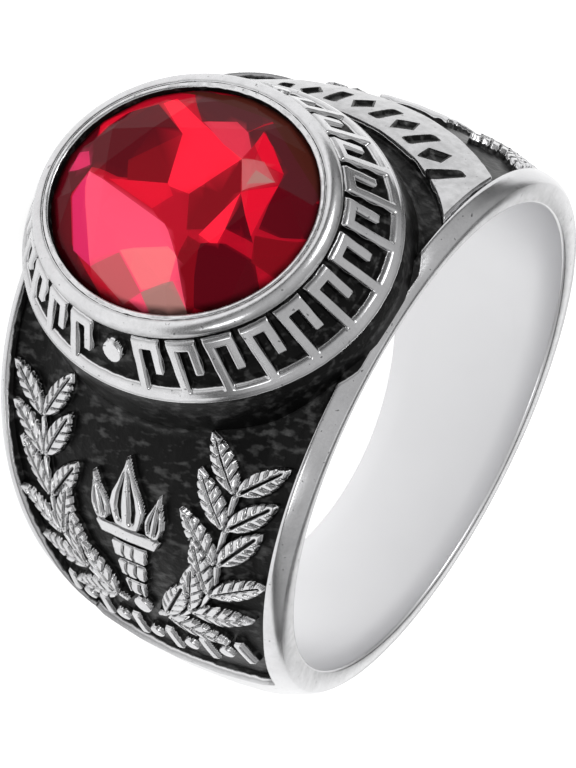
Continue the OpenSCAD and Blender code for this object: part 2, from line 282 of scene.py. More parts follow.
def band_place(u, v):
    """The band's section: bore, side face, rounding, rim, panel or crown, and back on the other side."""
    angle = BAND_ANGLES[np.round(u * BAND_COLUMNS).astype(int)]
    rows = np.round(v * BAND_ROWS).astype(int) % BAND_ROWS
    hand = np.where(rows < len(BAND_STEPS), 1, -1)
    rows = np.minimum(rows, BAND_ROWS - 1 - rows)
    placed = np.zeros((4, len(u)))
    for number, (kind, *sizes) in enumerate(BAND_STEPS):
        here = rows == number
        placed[:, here] = np.broadcast_arrays(*kind(angle[here], *sizes))
    x, h, z, shade = placed
    return to_row(x, h, z * hand), shade


# ---- relief

# Each shape gives its height, how far points lie outside it, and its ink: the black in its cut lines, and on
# the ribbon also a painted shade over its plate


def turned(z, s, at, turn):
    """Coordinates in a drawing that stands at a place on the shoulder and is turned by an angle."""
    c, k = math.cos(math.radians(turn)), math.sin(math.radians(turn))
    dz, ds = z - at[0], s - at[1]
    return dz * c + ds * k, ds * c - dz * k


def dome_at(q):
    """A round dome over shares of its half width."""
    return np.sqrt(np.clip(1 - q * q, 0, 1))


VEIN_PITCH, VEIN_SLANT, LINE_DEPTH, LINE_INK = 0.5, 0.9, 0.5, 0.9


def leaf(z, s, at, turn, length, width):
    """A laurel leaf with a cut midrib and side veins."""
    a, b = turned(z, s, at, turn)
    t = np.clip(a / length, 0, 1)
    half = 0.5 * width * np.clip(np.sin(np.pi * t ** 0.85), 0, 1) ** 0.8 + 1e-6
    dome = dome_at(np.abs(b) / half) * ((a > 0) & (a < length))
    height = smooth(0, 0.45, dome) * (0.75 + 0.25 * dome)
    rib = smooth(0.085, 0.035, np.abs(b)) * smooth(0.02, 0.1, t) * smooth(0.92, 0.8, t)
    wave = np.cos(2 * np.pi * (a - VEIN_SLANT * np.abs(b)) / VEIN_PITCH)
    veins = np.clip(wave, 0, 1) ** 3 * smooth(0.1, 0.14, np.abs(b)) * smooth(0.15, 0.4, dome)
    cuts = np.maximum(rib, 0.9 * veins) * (dome > 0)
    away = np.maximum(np.maximum(np.abs(b) - half, -a), a - length)
    return height - LINE_DEPTH * cuts, away, LINE_INK * cuts


def bead(z, s, at, radius):
    """A round bead."""
    d = np.hypot(z - at[0], s - at[1]) / radius
    return smooth(0, 0.5, dome_at(d)) * (1 - 0.2 * np.clip(d, 0, 1) ** 2), (d - 1) * radius, 0


def stem(z, s, points, half):
    """A rounded band along a line of points."""
    best = np.full_like(z, np.inf)
    for (z0, s0), (z1, s1) in zip(points[:-1], points[1:]):
        dz, ds = z1 - z0, s1 - s0
        t = np.clip(((z - z0) * dz + (s - s0) * ds) / (dz * dz + ds * ds), 0, 1)
        best = np.minimum(best, np.hypot(z - z0 - t * dz, s - s0 - t * ds))
    return 0.85 * smooth(half + 0.03, half - 0.08, best), best - half, 0


def block(z, s, at, turn, half_a, half_b, corner=0.1, crown=0.2, flare=0.0):
    """A bar with rounded corners and a crowned top; flare widens it towards its upper end."""
    a, b = turned(z, s, at, turn)
    qa = np.abs(a) - half_a - flare * np.clip(b / half_b, -1, 1) + corner
    qb = np.abs(b) - half_b + corner
    d = np.hypot(np.maximum(qa, 0), np.maximum(qb, 0)) + np.minimum(np.maximum(qa, qb), 0) - corner
    return smooth(0.02, -0.08, d) * (1 - crown + crown * smooth(0, -min(half_a, half_b), d)), d, 0


# A flame's half width along its length, as shares
FLAME_SHAPE = (0, 0.12, 0.28, 0.45, 0.62, 0.8, 1), (0.67, 0.86, 1, 0.84, 0.52, 0.24, 0)


def flame(z, s, at, turn, length, width):
    """A tongue of flame with two flow lines."""
    a, b = turned(z, s, at, turn)
    t = np.clip(b / length, 0, 1)
    half = width * np.interp(t, *FLAME_SHAPE) + 1e-6
    q = np.abs(a) / half
    dome = dome_at(q) * ((b > 0) & (b < length))
    lines = np.exp(-((q - 0.4) / 0.15) ** 2) * smooth(0.02, 0.12, t) * smooth(0.85, 0.7, t) * (dome > 0)
    height = (0.75 + 0.25 * dome) * smooth(0, 0.45, dome) - LINE_DEPTH * lines
    return height, np.maximum(np.maximum(np.abs(a) - half, -b), b - length), LINE_INK * lines


def laid(shapes):
    """Shapes laid over each other in turn, each with a narrow cut round it: their height and ink."""
    total, inked = 0, 0
    for height, away, ink in shapes:
        clear = smooth(0.01, 0.09, away)
        total, inked = np.maximum(total * clear, height), np.maximum(inked * clear, ink)
    return total, inked


# The wreath: its foot, how far its branches rise and keep from the rims, the turn they make from a start,
# in degrees, and their half width
WREATH_FOOT, WREATH_RISE, WREATH_IN, BRANCH_FROM, BRANCH_TURN, BRANCH_HALF = 2.2, 5.1, 2.3, 12, 122, 0.15
LEAF_PAIRS, LEAF_SPREAD = 6, 38
# The torch: its foot over the wreath's, the handle's parts, and its bowl
TORCH_FOOT, HANDLE_PARTS, HANDLE_HALF, HANDLE_GROW, HANDLE_GAP = 0.85, 3, 0.51, 0.18, 0.16
FLUTE_AT, BOWL_HALF, BOWL_H, FLAMES_OVER = 0.24, 1.53, 0.6, 0.75
# The bottom row: its pitch, its way up the shoulder, and how it rises to its ends
ROW_PITCH, ROW_S, ROW_SAG = 0.88, 0.45, 0.02


def half_at(s):
    """Half of a panel's width, at a way up the shoulder."""
    return float(panel_half(s / BAND_R))


def branch_at(share):
    """A place on the wreath's branch, at a share of its length."""
    a = BRANCH_FROM + BRANCH_TURN * share
    s = WREATH_FOOT + WREATH_RISE * (1 - math.cos(math.radians(a)))
    return (half_at(s) - WREATH_IN) * math.sin(math.radians(min(a * 1.25, 100))), s


def pair_of_leaves(z, s, at, turn, spread, length, width, off=0.05):
    """Two leaves that part from one place on a branch."""
    for hand in (-1, 1):
        t = math.radians(turn + hand * spread)
        c, k = math.cos(t), math.sin(t)
        base = (at[0] + off * (c - hand * k), at[1] + off * (k + hand * c))
        yield leaf(z, s, base, turn + hand * spread, length, width)


def bottom_row(z, s):
    """A row of bars and beads across the panel's foot."""
    for k in range(-5, 6):
        at = (k * ROW_PITCH, ROW_S + ROW_SAG * k * k)
        yield bead(z, s, at, 0.36) if k % 2 == 0 else block(z, s, at, 2 * k, 0.24, 0.8)


def near_relief(z, s, sizes):
    """Laurel wreath round a torch, over the bottom row."""
    z = np.abs(z)
    leaves = sizes["leaf_length"], sizes["leaf_width"]
    shapes = [stem(z, s, [branch_at(k / 24) for k in range(23)], BRANCH_HALF)]
    for i in reversed(range(LEAF_PAIRS)):
        share = (i + 0.3) / LEAF_PAIRS
        (z0, s0), (z1, s1) = branch_at(share - 0.01), branch_at(share + 0.01)
        turn = math.degrees(math.atan2(s1 - s0, z1 - z0))
        shapes += pair_of_leaves(z, s, branch_at(share), turn, LEAF_SPREAD, *leaves)
    shapes.append(bead(z, s, (0, WREATH_FOOT + 0.2), 0.45))
    foot = WREATH_FOOT + TORCH_FOOT
    bowl, part = foot + sizes["torch_handle"], sizes["torch_handle"] / HANDLE_PARTS
    high = (part - HANDLE_GAP) / 2
    for step in range(HANDLE_PARTS):
        at = (0, foot + part * step + high)
        height, away, _ = block(z, s, at, 0, HANDLE_HALF + HANDLE_GROW * step, high, flare=0.06)
        flute = smooth(0.08, 0.03, np.abs(z - FLUTE_AT)) * (away < -0.08)
        shapes.append((height - 0.4 * flute, away, LINE_INK * flute))
    shapes.append(block(z, s, (0, bowl + BOWL_H / 2), 0, BOWL_HALF, BOWL_H / 2, flare=0.17))
    shapes.append(flame(z, s, (1.25, bowl + FLAMES_OVER), -12, 2.1, 0.45))
    shapes.append(flame(z, s, (0, bowl + FLAMES_OVER), 0, 3.2, 0.9))
    return laid([*shapes, *bottom_row(z, s)])


# The ribbon: its gap to the collar, and the marks cut into it over a part of its turn, in degrees
RIBBON_GAP, RIBBON_MARKS, RIBBON_TURN = 0.95, 11, 72
# The shield: its foot, its height over that, and its upright bars
SHIELD_S, SHIELD_H, PALE_PITCH, PALE_HALF = 1.75, 2.7, 0.95, 0.32
# The ribbon's painted shade, which darkens its plate, and how deep its marks are, as a share of its height
RIBBON_PAINTED_SHADE, MARK_DEPTH = 0.24, 0.35


def ribbon(z, s, width):
    """Ribbon along the collar's foot, with bars and lozenges cut into it."""
    inner, outer = COLLAR + RIBBON_GAP, COLLAR + RIBBON_GAP + width
    x = (BAND_R - crown_at(z) - 0.06) * np.cos(s / BAND_R)
    from_side = panel_half(s / BAND_R) - 0.3 - np.abs(z)
    inside = np.minimum(np.minimum(off_oval(x, z, inner), -off_oval(x, z, outer)), from_side)
    plate = smooth(-0.02, 0.08, inside) * (s > 0)
    across, along = (inner + outer) / 2
    marks, ink = np.zeros_like(z), np.zeros_like(z)
    for i in range(RIBBON_MARKS):
        turn = (i - (RIBBON_MARKS - 1) / 2) * RIBBON_TURN / RIBBON_MARKS
        a = math.radians(turn)
        at = (along * math.sin(a), math.acos(across * math.cos(a) / BAND_R) * BAND_R)
        if i % 2 == 0:
            away = block(z, s, at, 0.9 * turn, 0.24, 0.75)[1]
        else:
            p, q = turned(z, s, at, 0.9 * turn)
            away = (np.abs(p) / 0.42 + np.abs(q) / 0.7 - 1) * 0.36
        marks = np.maximum(marks, smooth(0.02, -0.08, away))
        ink = np.maximum(ink, smooth(0.12, 0.05, away))
    # The plate takes the painted shade, and the marks their black
    return plate * (1 - MARK_DEPTH * marks), -plate, np.maximum(ink, RIBBON_PAINTED_SHADE) * plate


def far_relief(z, s, sizes):
    """Ribbon over a shield of upright bars between leaves, over the bottom row."""
    shapes = [ribbon(z, s, sizes["ribbon_width"])]
    for i in reversed(range(3)):
        s0 = SHIELD_S - 0.2 + 1.3 * i
        shapes += pair_of_leaves(np.abs(z), s, (half_at(s0) - 1.65, s0), 80, 34,
                                 0.8 * sizes["leaf_length"], sizes["leaf_width"])
    for k in (-1.5, -0.5, 0.5, 1.5):
        low, high = SHIELD_S + 0.25 * k * k, SHIELD_S + SHIELD_H
        shapes.append(block(z, s, (k * PALE_PITCH, (low + high) / 2), 0, PALE_HALF, (high - low) / 2))
    shapes.append(block(z, s, (0, SHIELD_S + SHIELD_H + 0.55), 0, 1.8, 0.3))
    return laid([*shapes, *bottom_row(z, s)])


# How far a panel's sheet runs on under the rims and the collar, and the fillet at the collar's foot
UNDER_RIM, UNDER_COLLAR, FILLET_W, FILLET_H = 0.03, (0.25, 0.1), 0.5, 0.4
# The highest relief stays this far under the band's outside
RELIEF_UNDER = 0.04


def shoulder_piece(name, relief, side, cells):
    """A panel's ground with its relief, between the rims and from the palm's end to under the collar."""
    low = math.radians(-PANEL_END)

    def place(u, v):
        across = v * 2 - 1
        tilt = np.zeros_like(u)
        # A place's width and its way up depend on each other, and settle in a few rounds
        for _ in range(5):
            z = across * (panel_half(tilt) + UNDER_RIM)
            share = np.sqrt(np.clip(1 - (z / (COLLAR[1] - UNDER_COLLAR[1])) ** 2, 0.02, 1))
            wall = (COLLAR[0] - UNDER_COLLAR[0]) * share
            top = np.arccos(np.clip(wall / (BAND_R - crown_at(z) - PANEL_DEPTH), 0, 1))
            tilt = low + u * (top - low)
        z = across * (panel_half(tilt) + UNDER_RIM)
        height, ink = relief(z, tilt * BAND_R)
        height = np.clip(height, 0, 1)
        surface = outer_radius(np.pi / 2 - tilt, lambda h: z)
        off = off_oval((surface - 0.3) * np.cos(tilt), z, COLLAR)
        fillet = FILLET_H * smooth(FILLET_W, 0.0, off) ** 2
        rho = surface - PANEL_DEPTH + (PANEL_DEPTH - RELIEF_UNDER) * np.maximum(height, fillet)
        # 1 on the ground and in the cut lines is the antique black; values between give a painted shade down
        # the flanks and a painted highlight along the edges
        shade = np.maximum(1 - smooth(0.3, 0.78, height), ink)
        return to_row(side * rho * np.cos(tilt), BAND_SHIFT + rho * np.sin(tilt), z), shade

    return grid_piece(name, *cells, place)


# ---- collar and bezel


def rim_walk():
    """The angles of the collar's oval, and the length walked along its rim to each."""
    a = np.radians(np.arange(0, 360.01, 0.5))
    step = np.hypot(np.diff(COLLAR[0] * np.cos(a)), np.diff(COLLAR[1] * np.sin(a)))
    return a, np.concatenate([[0], np.cumsum(step)])


WALK_A, WALK_L = rim_walk()
HALF_RIM = WALK_L[-1] / 2
# The fret: hooks in each half, half a hook's width as a share of the pitch, the gaps over it and between
# its open end and the lip, and the studs between the halves
FRET_COUNT, HOOK_HALF, HOOK_GAP, HOOK_OPEN, STUD_D = 12, 0.35, 0.25, 0.7, 1.0


def fret(walk, up, stroke):
    """Height of the fret on the collar's slope, 0 on the ground and 1 on the strokes."""
    pitch = (HALF_RIM - 2 * STUD_D) / FRET_COUNT
    w, low, high = pitch * HOOK_HALF, LIP_W / 2, SLOPE_L - HOOK_GAP
    shrink = 1 - up / SLOPE_L * (1 - float(np.mean(BEZEL_FOOT / COLLAR)))
    run = walk % HALF_RIM
    cell = np.floor((run - STUD_D) / pitch)
    x = (run - STUD_D - (cell + 0.5) * pitch) * shrink
    in_run = (cell >= 0) & (cell < FRET_COUNT)

    def bar(x0, x1, y0, y1):
        d = np.maximum(np.maximum(x0 - x, x - x1), np.maximum(y0 - up, up - y1))
        return smooth(0.04, -0.07, d) * in_run

    strokes = np.maximum(np.maximum(bar(-w, stroke - w, low, high), bar(-w, w, high - stroke, high)),
                         bar(w - stroke, w, LIP_W + HOOK_OPEN, high))
    stud_x = np.minimum(run, HALF_RIM - run) * shrink
    stud = np.hypot(stud_x, up - (SLOPE_L + LIP_W) / 2) / (STUD_D / 2)
    return np.maximum(strokes, smooth(0, 0.5, dome_at(stud)))


COLLAR_COLUMNS, SLOPE_ROWS = 960, 60
# The slope's first row, as a share of the way up it: from the rim itself it would fold
SLOPE_START = 0.05


def bezel_round(turn, shade):
    """A row of the bezel's outer rounding, where it has turned by an angle."""
    t = math.radians(turn)
    out = BEZEL_LIP + (BEZEL_W - BEZEL_LIP) * math.cos(t)
    return STONE + out, BEZEL_FOOT_H + BEZEL_DROP * math.sin(t), shade


# The collar's rows under its slope and over it: half axes, height and shade. A shade of 1 is the antique
# black; values between are painted shade, and near 0.42 to 0.5 a painted highlight, on the steel
WALL_ROWS = [
    (COLLAR, 0, 1), (COLLAR, COLLAR_H - 0.6, 1), (COLLAR, COLLAR_H - 0.14, 1),
    (COLLAR - 0.02, COLLAR_H - 0.06, 0.45), (COLLAR - 0.07, COLLAR_H, 0.1),
]
BEZEL_ROWS = [
    # The bezel's foot and rounding darken towards the foot: painted shade
    (BEZEL_FOOT - 0.02, BEZEL_FOOT_H + 0.02, 0.34),
    *(bezel_round(turn, shade) for turn, shade in ((12, 0.3), (28, 0.16), (48, 0), (70, 0), (90, 0.05))),
    # The groove along the bezel, and its edge over the stone, with a painted highlight on the edge and a
    # painted shadow where it drops to the stone
    (STONE + 0.27, BEZEL_H - 0.005, 0.3), (STONE + 0.22, BEZEL_H - 0.05, 0.62),
    (STONE + 0.17, BEZEL_H, 0.4), (STONE + 0.1, BEZEL_H + 0.005, 0.4),
    (STONE + 0.02, BEZEL_H - 0.02, 0.42), (STONE - 0.04, BEZEL_H - 0.08, 0.75),
    # Down the seat, black as a painted shadow between the bezel and the stone, and inside the casting to the
    # bore's wall
    (STONE - 0.05, GIRDLE_TOP - 0.02, 1), (STONE - 0.6, GIRDLE_TOP - 1.0, 1),
    (STONE - 2, 12.0, 1), (STONE - 2, 0, 1),
]
COLLAR_ROWS = len(WALL_ROWS) + SLOPE_ROWS + 1 + len(BEZEL_ROWS)


def slope_row(share, walk, stroke):
    """A row of the slope, at a share of the way up it: half axes, height and shade."""
    up = share * SLOPE_L
    edges = np.maximum(smooth(LIP_W + 0.05, LIP_W - 0.05, up), smooth(SLOPE_L - 0.06, SLOPE_L, up))
    raised = np.maximum(fret(walk, up, stroke), edges)
    inwards = FRET_DEPTH * SLOPE_L / (BEZEL_FOOT_H - COLLAR_H) * (1 - raised)
    across, along = COLLAR + share * (BEZEL_FOOT - COLLAR)
    height = COLLAR_H + share * (BEZEL_FOOT_H - COLLAR_H)
    return (across - inwards, along - inwards), height, 1 - smooth(0.45, 0.92, raised)


def collar_place(u, v, stroke):
    """Up the collar's wall, over its rim, up the slope with the fret, over the bezel and down the seat."""
    a = u * 2 * np.pi
    walk = np.interp(a, WALK_A, WALK_L)
    rows = np.round(v * COLLAR_ROWS).astype(int) % COLLAR_ROWS
    ax, az, height, shade = np.zeros((4, len(u)))
    for k in range(COLLAR_ROWS):
        here = rows == k
        step = k - len(WALL_ROWS)
        if step < 0:
            row = WALL_ROWS[k]
        elif step <= SLOPE_ROWS:
            row = slope_row(SLOPE_START + (1 - SLOPE_START) * step / SLOPE_ROWS, walk[here], stroke)
        else:
            row = BEZEL_ROWS[step - SLOPE_ROWS - 1]
        (ax[here], az[here]), height[here], shade[here] = row
    # The first and last rows lie inside the casting, half a millimetre over the bore
    in_wall = np.sqrt((BORE_R + 0.5) ** 2 - np.minimum(ax * np.cos(a), 9) ** 2)
    height = np.where((rows == 0) | (rows == COLLAR_ROWS - 1), in_wall, height)
    limit = half_w(height) - 0.1
    return to_row(ax * np.cos(a), height, np.clip(az * np.sin(a), -limit, limit)), shade


# ---- materials


class Value:
    """A shader socket that takes part in Python sums."""

    def __init__(self, made, socket):
        self.made, self.socket = made, socket

    def _math(self, operation, *others):
        return self.made.node("ShaderNodeMath", {"operation": operation}, *others)

    def __add__(self, other):
        return self._math("ADD", self, other)

    def __sub__(self, other):
        return self._math("SUBTRACT", self, other)

    def __mul__(self, other):
        return self._math("MULTIPLY", self, other)

    def __rsub__(self, other):
        return self._math("SUBTRACT", other, self)

    __radd__, __rmul__ = __add__, __mul__

    def step(self, low, high):
        """0 below low, 1 over high, and even between."""
        return self.made.node("ShaderNodeMapRange", {"clamp": True}, self, low, high)


class Nodes:
    """A node tree that is filled by calls."""

    def __init__(self, tree):
        self.tree = tree

    def node(self, kind, settings, *values, output=0, at=None, **named):
        """Adds a node: its settings first, then its sockets by order, by number (at) and by name."""
        made = self.tree.nodes.new(kind)
        for key, value in settings.items():
            if key == "stops":
                self.fill_ramp(made.color_ramp.elements, value)
            else:
                setattr(made, key, value)
        for key, value in [*enumerate(values), *(at or {}).items(), *named.items()]:
            self.feed(made.inputs[key if isinstance(key, int) else key.replace("_", " ")], value)
        return Value(self, made.outputs[output])

    def fill_ramp(self, elements, stops):
        """Sets a ramp's stops, each a place and a grey. A new ramp has two."""
        for place, _ in stops[len(elements):]:
            elements.new(place)
        for element, (place, grey) in zip(elements, stops):
            element.position = place
            element.color = (grey, grey, grey, 1)

    def feed(self, socket, value):
        """Links a value to a socket, or sets the socket to a constant."""
        if isinstance(value, Value):
            self.tree.links.new(value.socket, socket)
        else:
            socket.default_value = value

    def ramp(self, value, stops):
        """Greys at places along a value."""
        return self.node("ShaderNodeValToRGB", {"stops": stops}, value)


class Finish(Nodes):
    """One material's node tree."""

    def __init__(self, name):
        self.material = bpy.data.materials.new(name)
        self.material.use_nodes = True
        super().__init__(self.material.node_tree)
        self.shader = self.tree.nodes["Principled BSDF"]
        self.place = self.node("ShaderNodeTexCoord", {}, output="Object")

    def attribute(self, name, output="Fac"):
        return self.node("ShaderNodeAttribute", {"attribute_name": name}, output=output)

    def noise(self, scale, detail=2.0, stretch=None):
        """Noise on the piece's own coordinates, drawn out where stretch is under 1."""
        place = self.place
        if stretch:
            place = self.node("ShaderNodeMapping", {}, Vector=place, Scale=stretch)
        return self.node("ShaderNodeTexNoise", {}, Vector=place, Scale=scale, Detail=detail)

    def mix(self, share, first, second, blend="MIX"):
        """Two colours mixed; sockets 0, 6 and 7 and output 2 are the node's own for colours."""
        settings = {"data_type": "RGBA", "blend_type": blend}
        return self.node("ShaderNodeMix", settings, output=2, at={0: share, 6: first, 7: second})

    def bump(self, height, strength, distance):
        return self.node("ShaderNodeBump", {}, Strength=strength, Distance=distance, Height=height)

    def set(self, **named):
        """Feeds the shader's own sockets."""
        for key, value in named.items():
            self.feed(self.shader.inputs[key.replace("_", " ")], value)
        return self.material


# The steel's greys along the antique attribute: polished tops, a painted shade down the flanks, and a painted
# highlight along the edge beside the black
PAINTED_METAL_TONES = [(0.02, 0.96), (0.2, 0.76), (0.32, 0.55), (0.42, 1.0), (0.5, 0.95), (0.62, 0.3)]
WEAR_TONES = [(0.45, 0.85), (0.85, 1.0)]
# Where the black starts and is full, how ragged its edge is, and how much lighter its smears are
BLACK_STEP, BLACK_RAGGED, SMEAR_LIGHT = (0.5, 0.6), 0.3, 11


def metal_finish(settings):
    """Satin steel with a painted shade down its flanks and a painted highlight along its edge beside the black
    finish of the recesses.
    """
    made = Finish("antiqued_steel")
    grain, fine, patch = made.noise(2400, 3), made.noise(9000, 2), made.noise(650, 3)
    streak = made.noise(3200, 3, (1, 1, 0.3))
    depth = made.attribute("antique") + (grain - 0.5) * BLACK_RAGGED
    dark = depth.step(*BLACK_STEP)
    wear = made.ramp(patch + fine * 0.4, WEAR_TONES)
    pits = made.noise(5200, 1).step(0.73, 0.76)
    # Painted shade and highlight from the ramp, times the random wear patches
    shaded_and_worn = made.mix(1.0, made.ramp(depth, PAINTED_METAL_TONES), wear, "MULTIPLY")
    metal = made.mix(1.0, (*settings.metal, 1), shaded_and_worn, "MULTIPLY")
    smear = (streak + grain * 0.6).step(0.82, 1.1)
    black = made.mix(smear, (*settings.antique, 1), (*(c * SMEAR_LIGHT for c in settings.antique), 1))
    return made.set(
        Base_Color=made.mix(dark, made.mix(pits * 0.6, metal, black), black),
        Metallic=1 - dark * 0.5,
        Roughness=dark * 0.14 + patch * 0.12 + 0.17,
        Specular_IOR_Level=0.1,
        Normal=made.bump(grain * dark * 3 + patch * 0.2 + fine * 0.1, 0.5, 0.00003),
    )


def bore_finish(settings):
    """Satin steel inside the bore: the satin is the steel's own, and its colour, lighter than the outside's
    steel, is painted light on the bore's wall.
    """
    made = Finish("satin_steel")
    return made.set(Base_Color=(*settings.bore, 1), Metallic=1.0, Roughness=made.noise(260, 2) * 0.1 + 0.3)


def stone_finish(settings):
    """Deep red glass: painted reflections in each facet's red, and a painted glow in the same reds, under a
    clear polished face.
    """
    made = Finish("cut_glass")
    tone = made.attribute("tone", "Color")
    return made.set(Base_Color=tone, Emission_Color=tone, Emission_Strength=settings.glow,
                    Roughness=0.08, Specular_IOR_Level=0.03)


# ---- stone

# The cut: facets round the table, and straight cuts along the girdle's oval
FOLD, GIRDLE_CUTS = 8, 48


def facet_points(from_h, tip_share, mid_share, height):
    """Corners of one side's facets: the table or culet, points part of the way out, and the edge."""
    rim = 1 + FACETS_OVER
    half_turn = 180 / FOLD
    mid_h = height * (rim - mid_share * math.cos(math.radians(half_turn))) / (rim - tip_share)
    rings = [(tip_share, 0, FOLD, height), (mid_share, half_turn, FOLD, mid_h), (rim, 0, 2 * FOLD, 0)]
    return [(share * STONE[0] * math.cos(math.radians(first + 360 / count * i)), from_h + up,
             share * STONE[1] * math.sin(math.radians(first + 360 / count * i)))
            for share, first, count, up in rings for i in range(count)]


def with_edges(faces):
    """Faces with their edges and corners, each once and in order, as the cutting operator wants them."""
    edges = dict.fromkeys(e for f in faces for e in f.edges)
    corners = dict.fromkeys(v for f in faces for v in f.verts)
    return [*edges, *corners, *faces]


def facing_up(bm):
    """The crown's faces."""
    return [f for f in bm.faces if f.normal.dot(UP) > 0.05]


def side_plane(x0, z0, x1, z1):
    """An upright plane through a line in the stone's plan, with its normal on the line's right."""
    return {"plane_co": ORIGIN + (ACROSS * x0 + ALONG * z0) / 1000,
            "plane_no": (ACROSS * (z1 - z0) - ALONG * (x1 - x0)).normalized()}


def stone_mesh():
    """The cut stone as one closed body."""
    over = FACETS_OVER / (1 - TABLE_SHARE)
    crown = facet_points(GIRDLE_TOP - CROWN_H * over, TABLE_SHARE, STAR_SHARE, CROWN_H * (1 + over))
    pavilion = facet_points(GIRDLE_LOW, CULET_SHARE, LOWER_SHARE, PAVILION_H)
    bm = bmesh.new()
    for point in (*crown, *((x, 2 * GIRDLE_LOW - h, z) for x, h, z in pavilion)):
        bm.verts.new(to_row(*point))
    bmesh.ops.convex_hull(bm, input=bm.verts)
    bmesh.ops.delete(bm, geom=[v for v in bm.verts if not v.link_faces], context="VERTS")
    # The facets' outer edges are cut off along the girdle's oval
    turns = [2 * math.pi * i / GIRDLE_CUTS for i in range(GIRDLE_CUTS + 1)]
    rim = [(STONE[0] * math.cos(t), STONE[1] * math.sin(t)) for t in turns]
    for start, end in zip(rim[:-1], rim[1:]):
        cut = bmesh.ops.bisect_plane(bm, geom=[*bm.verts, *bm.edges, *bm.faces], dist=1e-7, clear_outer=True,
                                     **side_plane(*start, *end))
        bmesh.ops.contextual_create(bm, geom=[e for e in cut["geom_cut"] if isinstance(e, bmesh.types.BMEdge)])
    bmesh.ops.recalc_face_normals(bm, faces=bm.faces)
    return bm


# Reds of the stone's painted reflections
TONES = {
    "maroon": (0.085, 0.002, 0.006), "wine": (0.19, 0.003, 0.008), "ruby": (0.4, 0.004, 0.016),
    "scarlet": (0.66, 0.006, 0.024), "vivid": (0.95, 0.014, 0.04), "magenta": (0.62, 0.018, 0.1),
    "pink": (0.9, 0.075, 0.15), "coral": (0.62, 0.03, 0.06), "salmon": (0.84, 0.16, 0.18),
    "rose": (0.5, 0.1, 0.11), "grey_rose": (0.38, 0.18, 0.16), "mauve": (0.075, 0.012, 0.016),
    "umber": (0.06, 0.012, 0.008),
}
# Painted reflections: what the pavilion shows through the crown: [tone, corners as (across the shoulders,
# along the finger)]
REFLECTIONS = [
    ("maroon", (1.4, -6), (-0.2, -6), (-1.8, -5.4), (0.3, -4.1), (1.7, -4.3), (3.4, -3.2), (4.9, -0.8),
     (4.9, -3.4)),
    ("scarlet", (-1.9, -5.6), (-2.7, -4.3), (-1.1, -4.8)),
    ("maroon", (-1, -5), (-2.5, -4.5), (-3.3, -3.4), (-2.2, -1.1), (-0.1, -0.4), (0.4, -2.6), (0.3, -4.1)),
    ("wine", (-0.4, -2.6), (-2.2, -1.1), (-0.1, -0.4), (0.4, -2.1)),
    ("magenta", (0.6, -5.3), (-0.3, -5.4), (-0.4, -4.9), (0.2, -4.3), (0.5, -4.8)),
    ("vivid", (-3.4, -3.2), (-3.8, -2.8), (-2.9, -0.5), (-2.1, 1.9), (0, 0.7), (0, -0.4), (-2.2, -1.1)),
    ("scarlet", (0.6, -2.9), (-0.1, -0.4), (0.3, 0.1), (1.1, -0.4)),
    ("ruby", (1.1, -0.4), (0.3, 0.1), (0, 0.7), (1.6, 1.7), (2.6, 1.8), (1.7, 0.8)),
    ("magenta", (1.7, -4.2), (0.6, -4.1), (4, -1.8), (3.6, -3)),
    ("pink", (0.5, -4.1), (1.5, 0.5), (1.7, 0.8), (2.6, 1.8), (4.3, 3), (4.8, 1.1), (4, -1.8), (1.2, -3.8)),
    ("salmon", (3.1, -0.7), (2.3, 1.2), (2.5, 1.7), (3.6, 1.9), (4.1, 0.8)),
    ("rose", (4, -1.8), (3.2, -0.7), (4.2, 0.8), (4.8, 0.2)),
    ("grey_rose", (4.2, 0.8), (3.4, 2), (4.3, 3.1), (4.9, 1.6)),
    ("wine", (0, 0.7), (-2.1, 1.9), (-0.8, 2.7), (1.1, 2.2), (1.4, 1.5)),
    ("vivid", (1.4, 2.1), (-0.8, 2.7), (0.8, 3), (1.6, 3)),
    ("maroon", (0.8, 3), (-0.8, 2.7), (0.8, 4.2)),
    ("scarlet", (-0.8, 2.7), (-1.7, 3.8), (0.6, 4)),
    ("maroon", (0.2, 4.1), (-1.7, 3.8), (-1.9, 5.5), (-0.6, 6.1), (0.1, 4.9)),
    ("mauve", (-4.6, -2.7), (-4.9, 1.8), (-3.3, 1.3), (-3.6, 0.5), (-3, -0.7)),
    ("mauve", (-4.4, 1.8), (-2.4, 5.3), (-1.7, 5.2), (-1.7, 3.8), (-2.3, 3.6), (-3.6, 1.9), (-2.7, 1.9),
     (-3.3, 1.3)),
    ("coral", (-3, -0.6), (-3.6, 0.5), (-3.3, 1.3), (-2.7, 1.9), (-2.1, 1.9), (-2.4, 0.8)),
    ("scarlet", (-3.6, 1.8), (-3.2, 2.5), (-2.3, 3.6), (-2.3, 2.7), (-2.9, 1.9)),
    ("rose", (-2.1, 1.9), (-2.4, 2.7), (-1.8, 3.6), (-0.9, 2.7)),
    ("grey_rose", (-1.2, 2.7), (-1.9, 2.7), (-1.8, 3.6)),
    ("maroon", (2.9, 2.6), (1.7, 2.4), (1.3, 3.3), (1.4, 4.6), (2.3, 5.2), (3.6, 4.4), (3.9, 3.1)),
    ("wine", (2.6, 1.8), (1.6, 1.7), (1.7, 2.4), (2.9, 2.7), (3.9, 3.1), (4.3, 3)),
    ("wine", (0.5, 4.1), (0.2, 4.9), (-0.5, 6.2), (1.6, 5.9), (1.5, 4.5)),
    ("umber", (-4.2, -3.2), (-4.35, 1.5), (-1.9, 5.6), (-2.6, 5.7), (-4.6, 3), (-5.1, 0.2)),
]

# The painted shadow along the girdle: its cuts and where they lie, and where it fades in, as shares of the
# girdle, its shift to one side in millimetres, and how dark it is
RING_CUTS, RING_AT, RING_FADE, RING_SHIFT, GIRDLE_SHADOW_DARK = 32, 0.93, (0.935, 0.985), -0.15, 0.85
# How much of its neighbours' tones a facet takes on at its corners
SOFTEN = 0.4


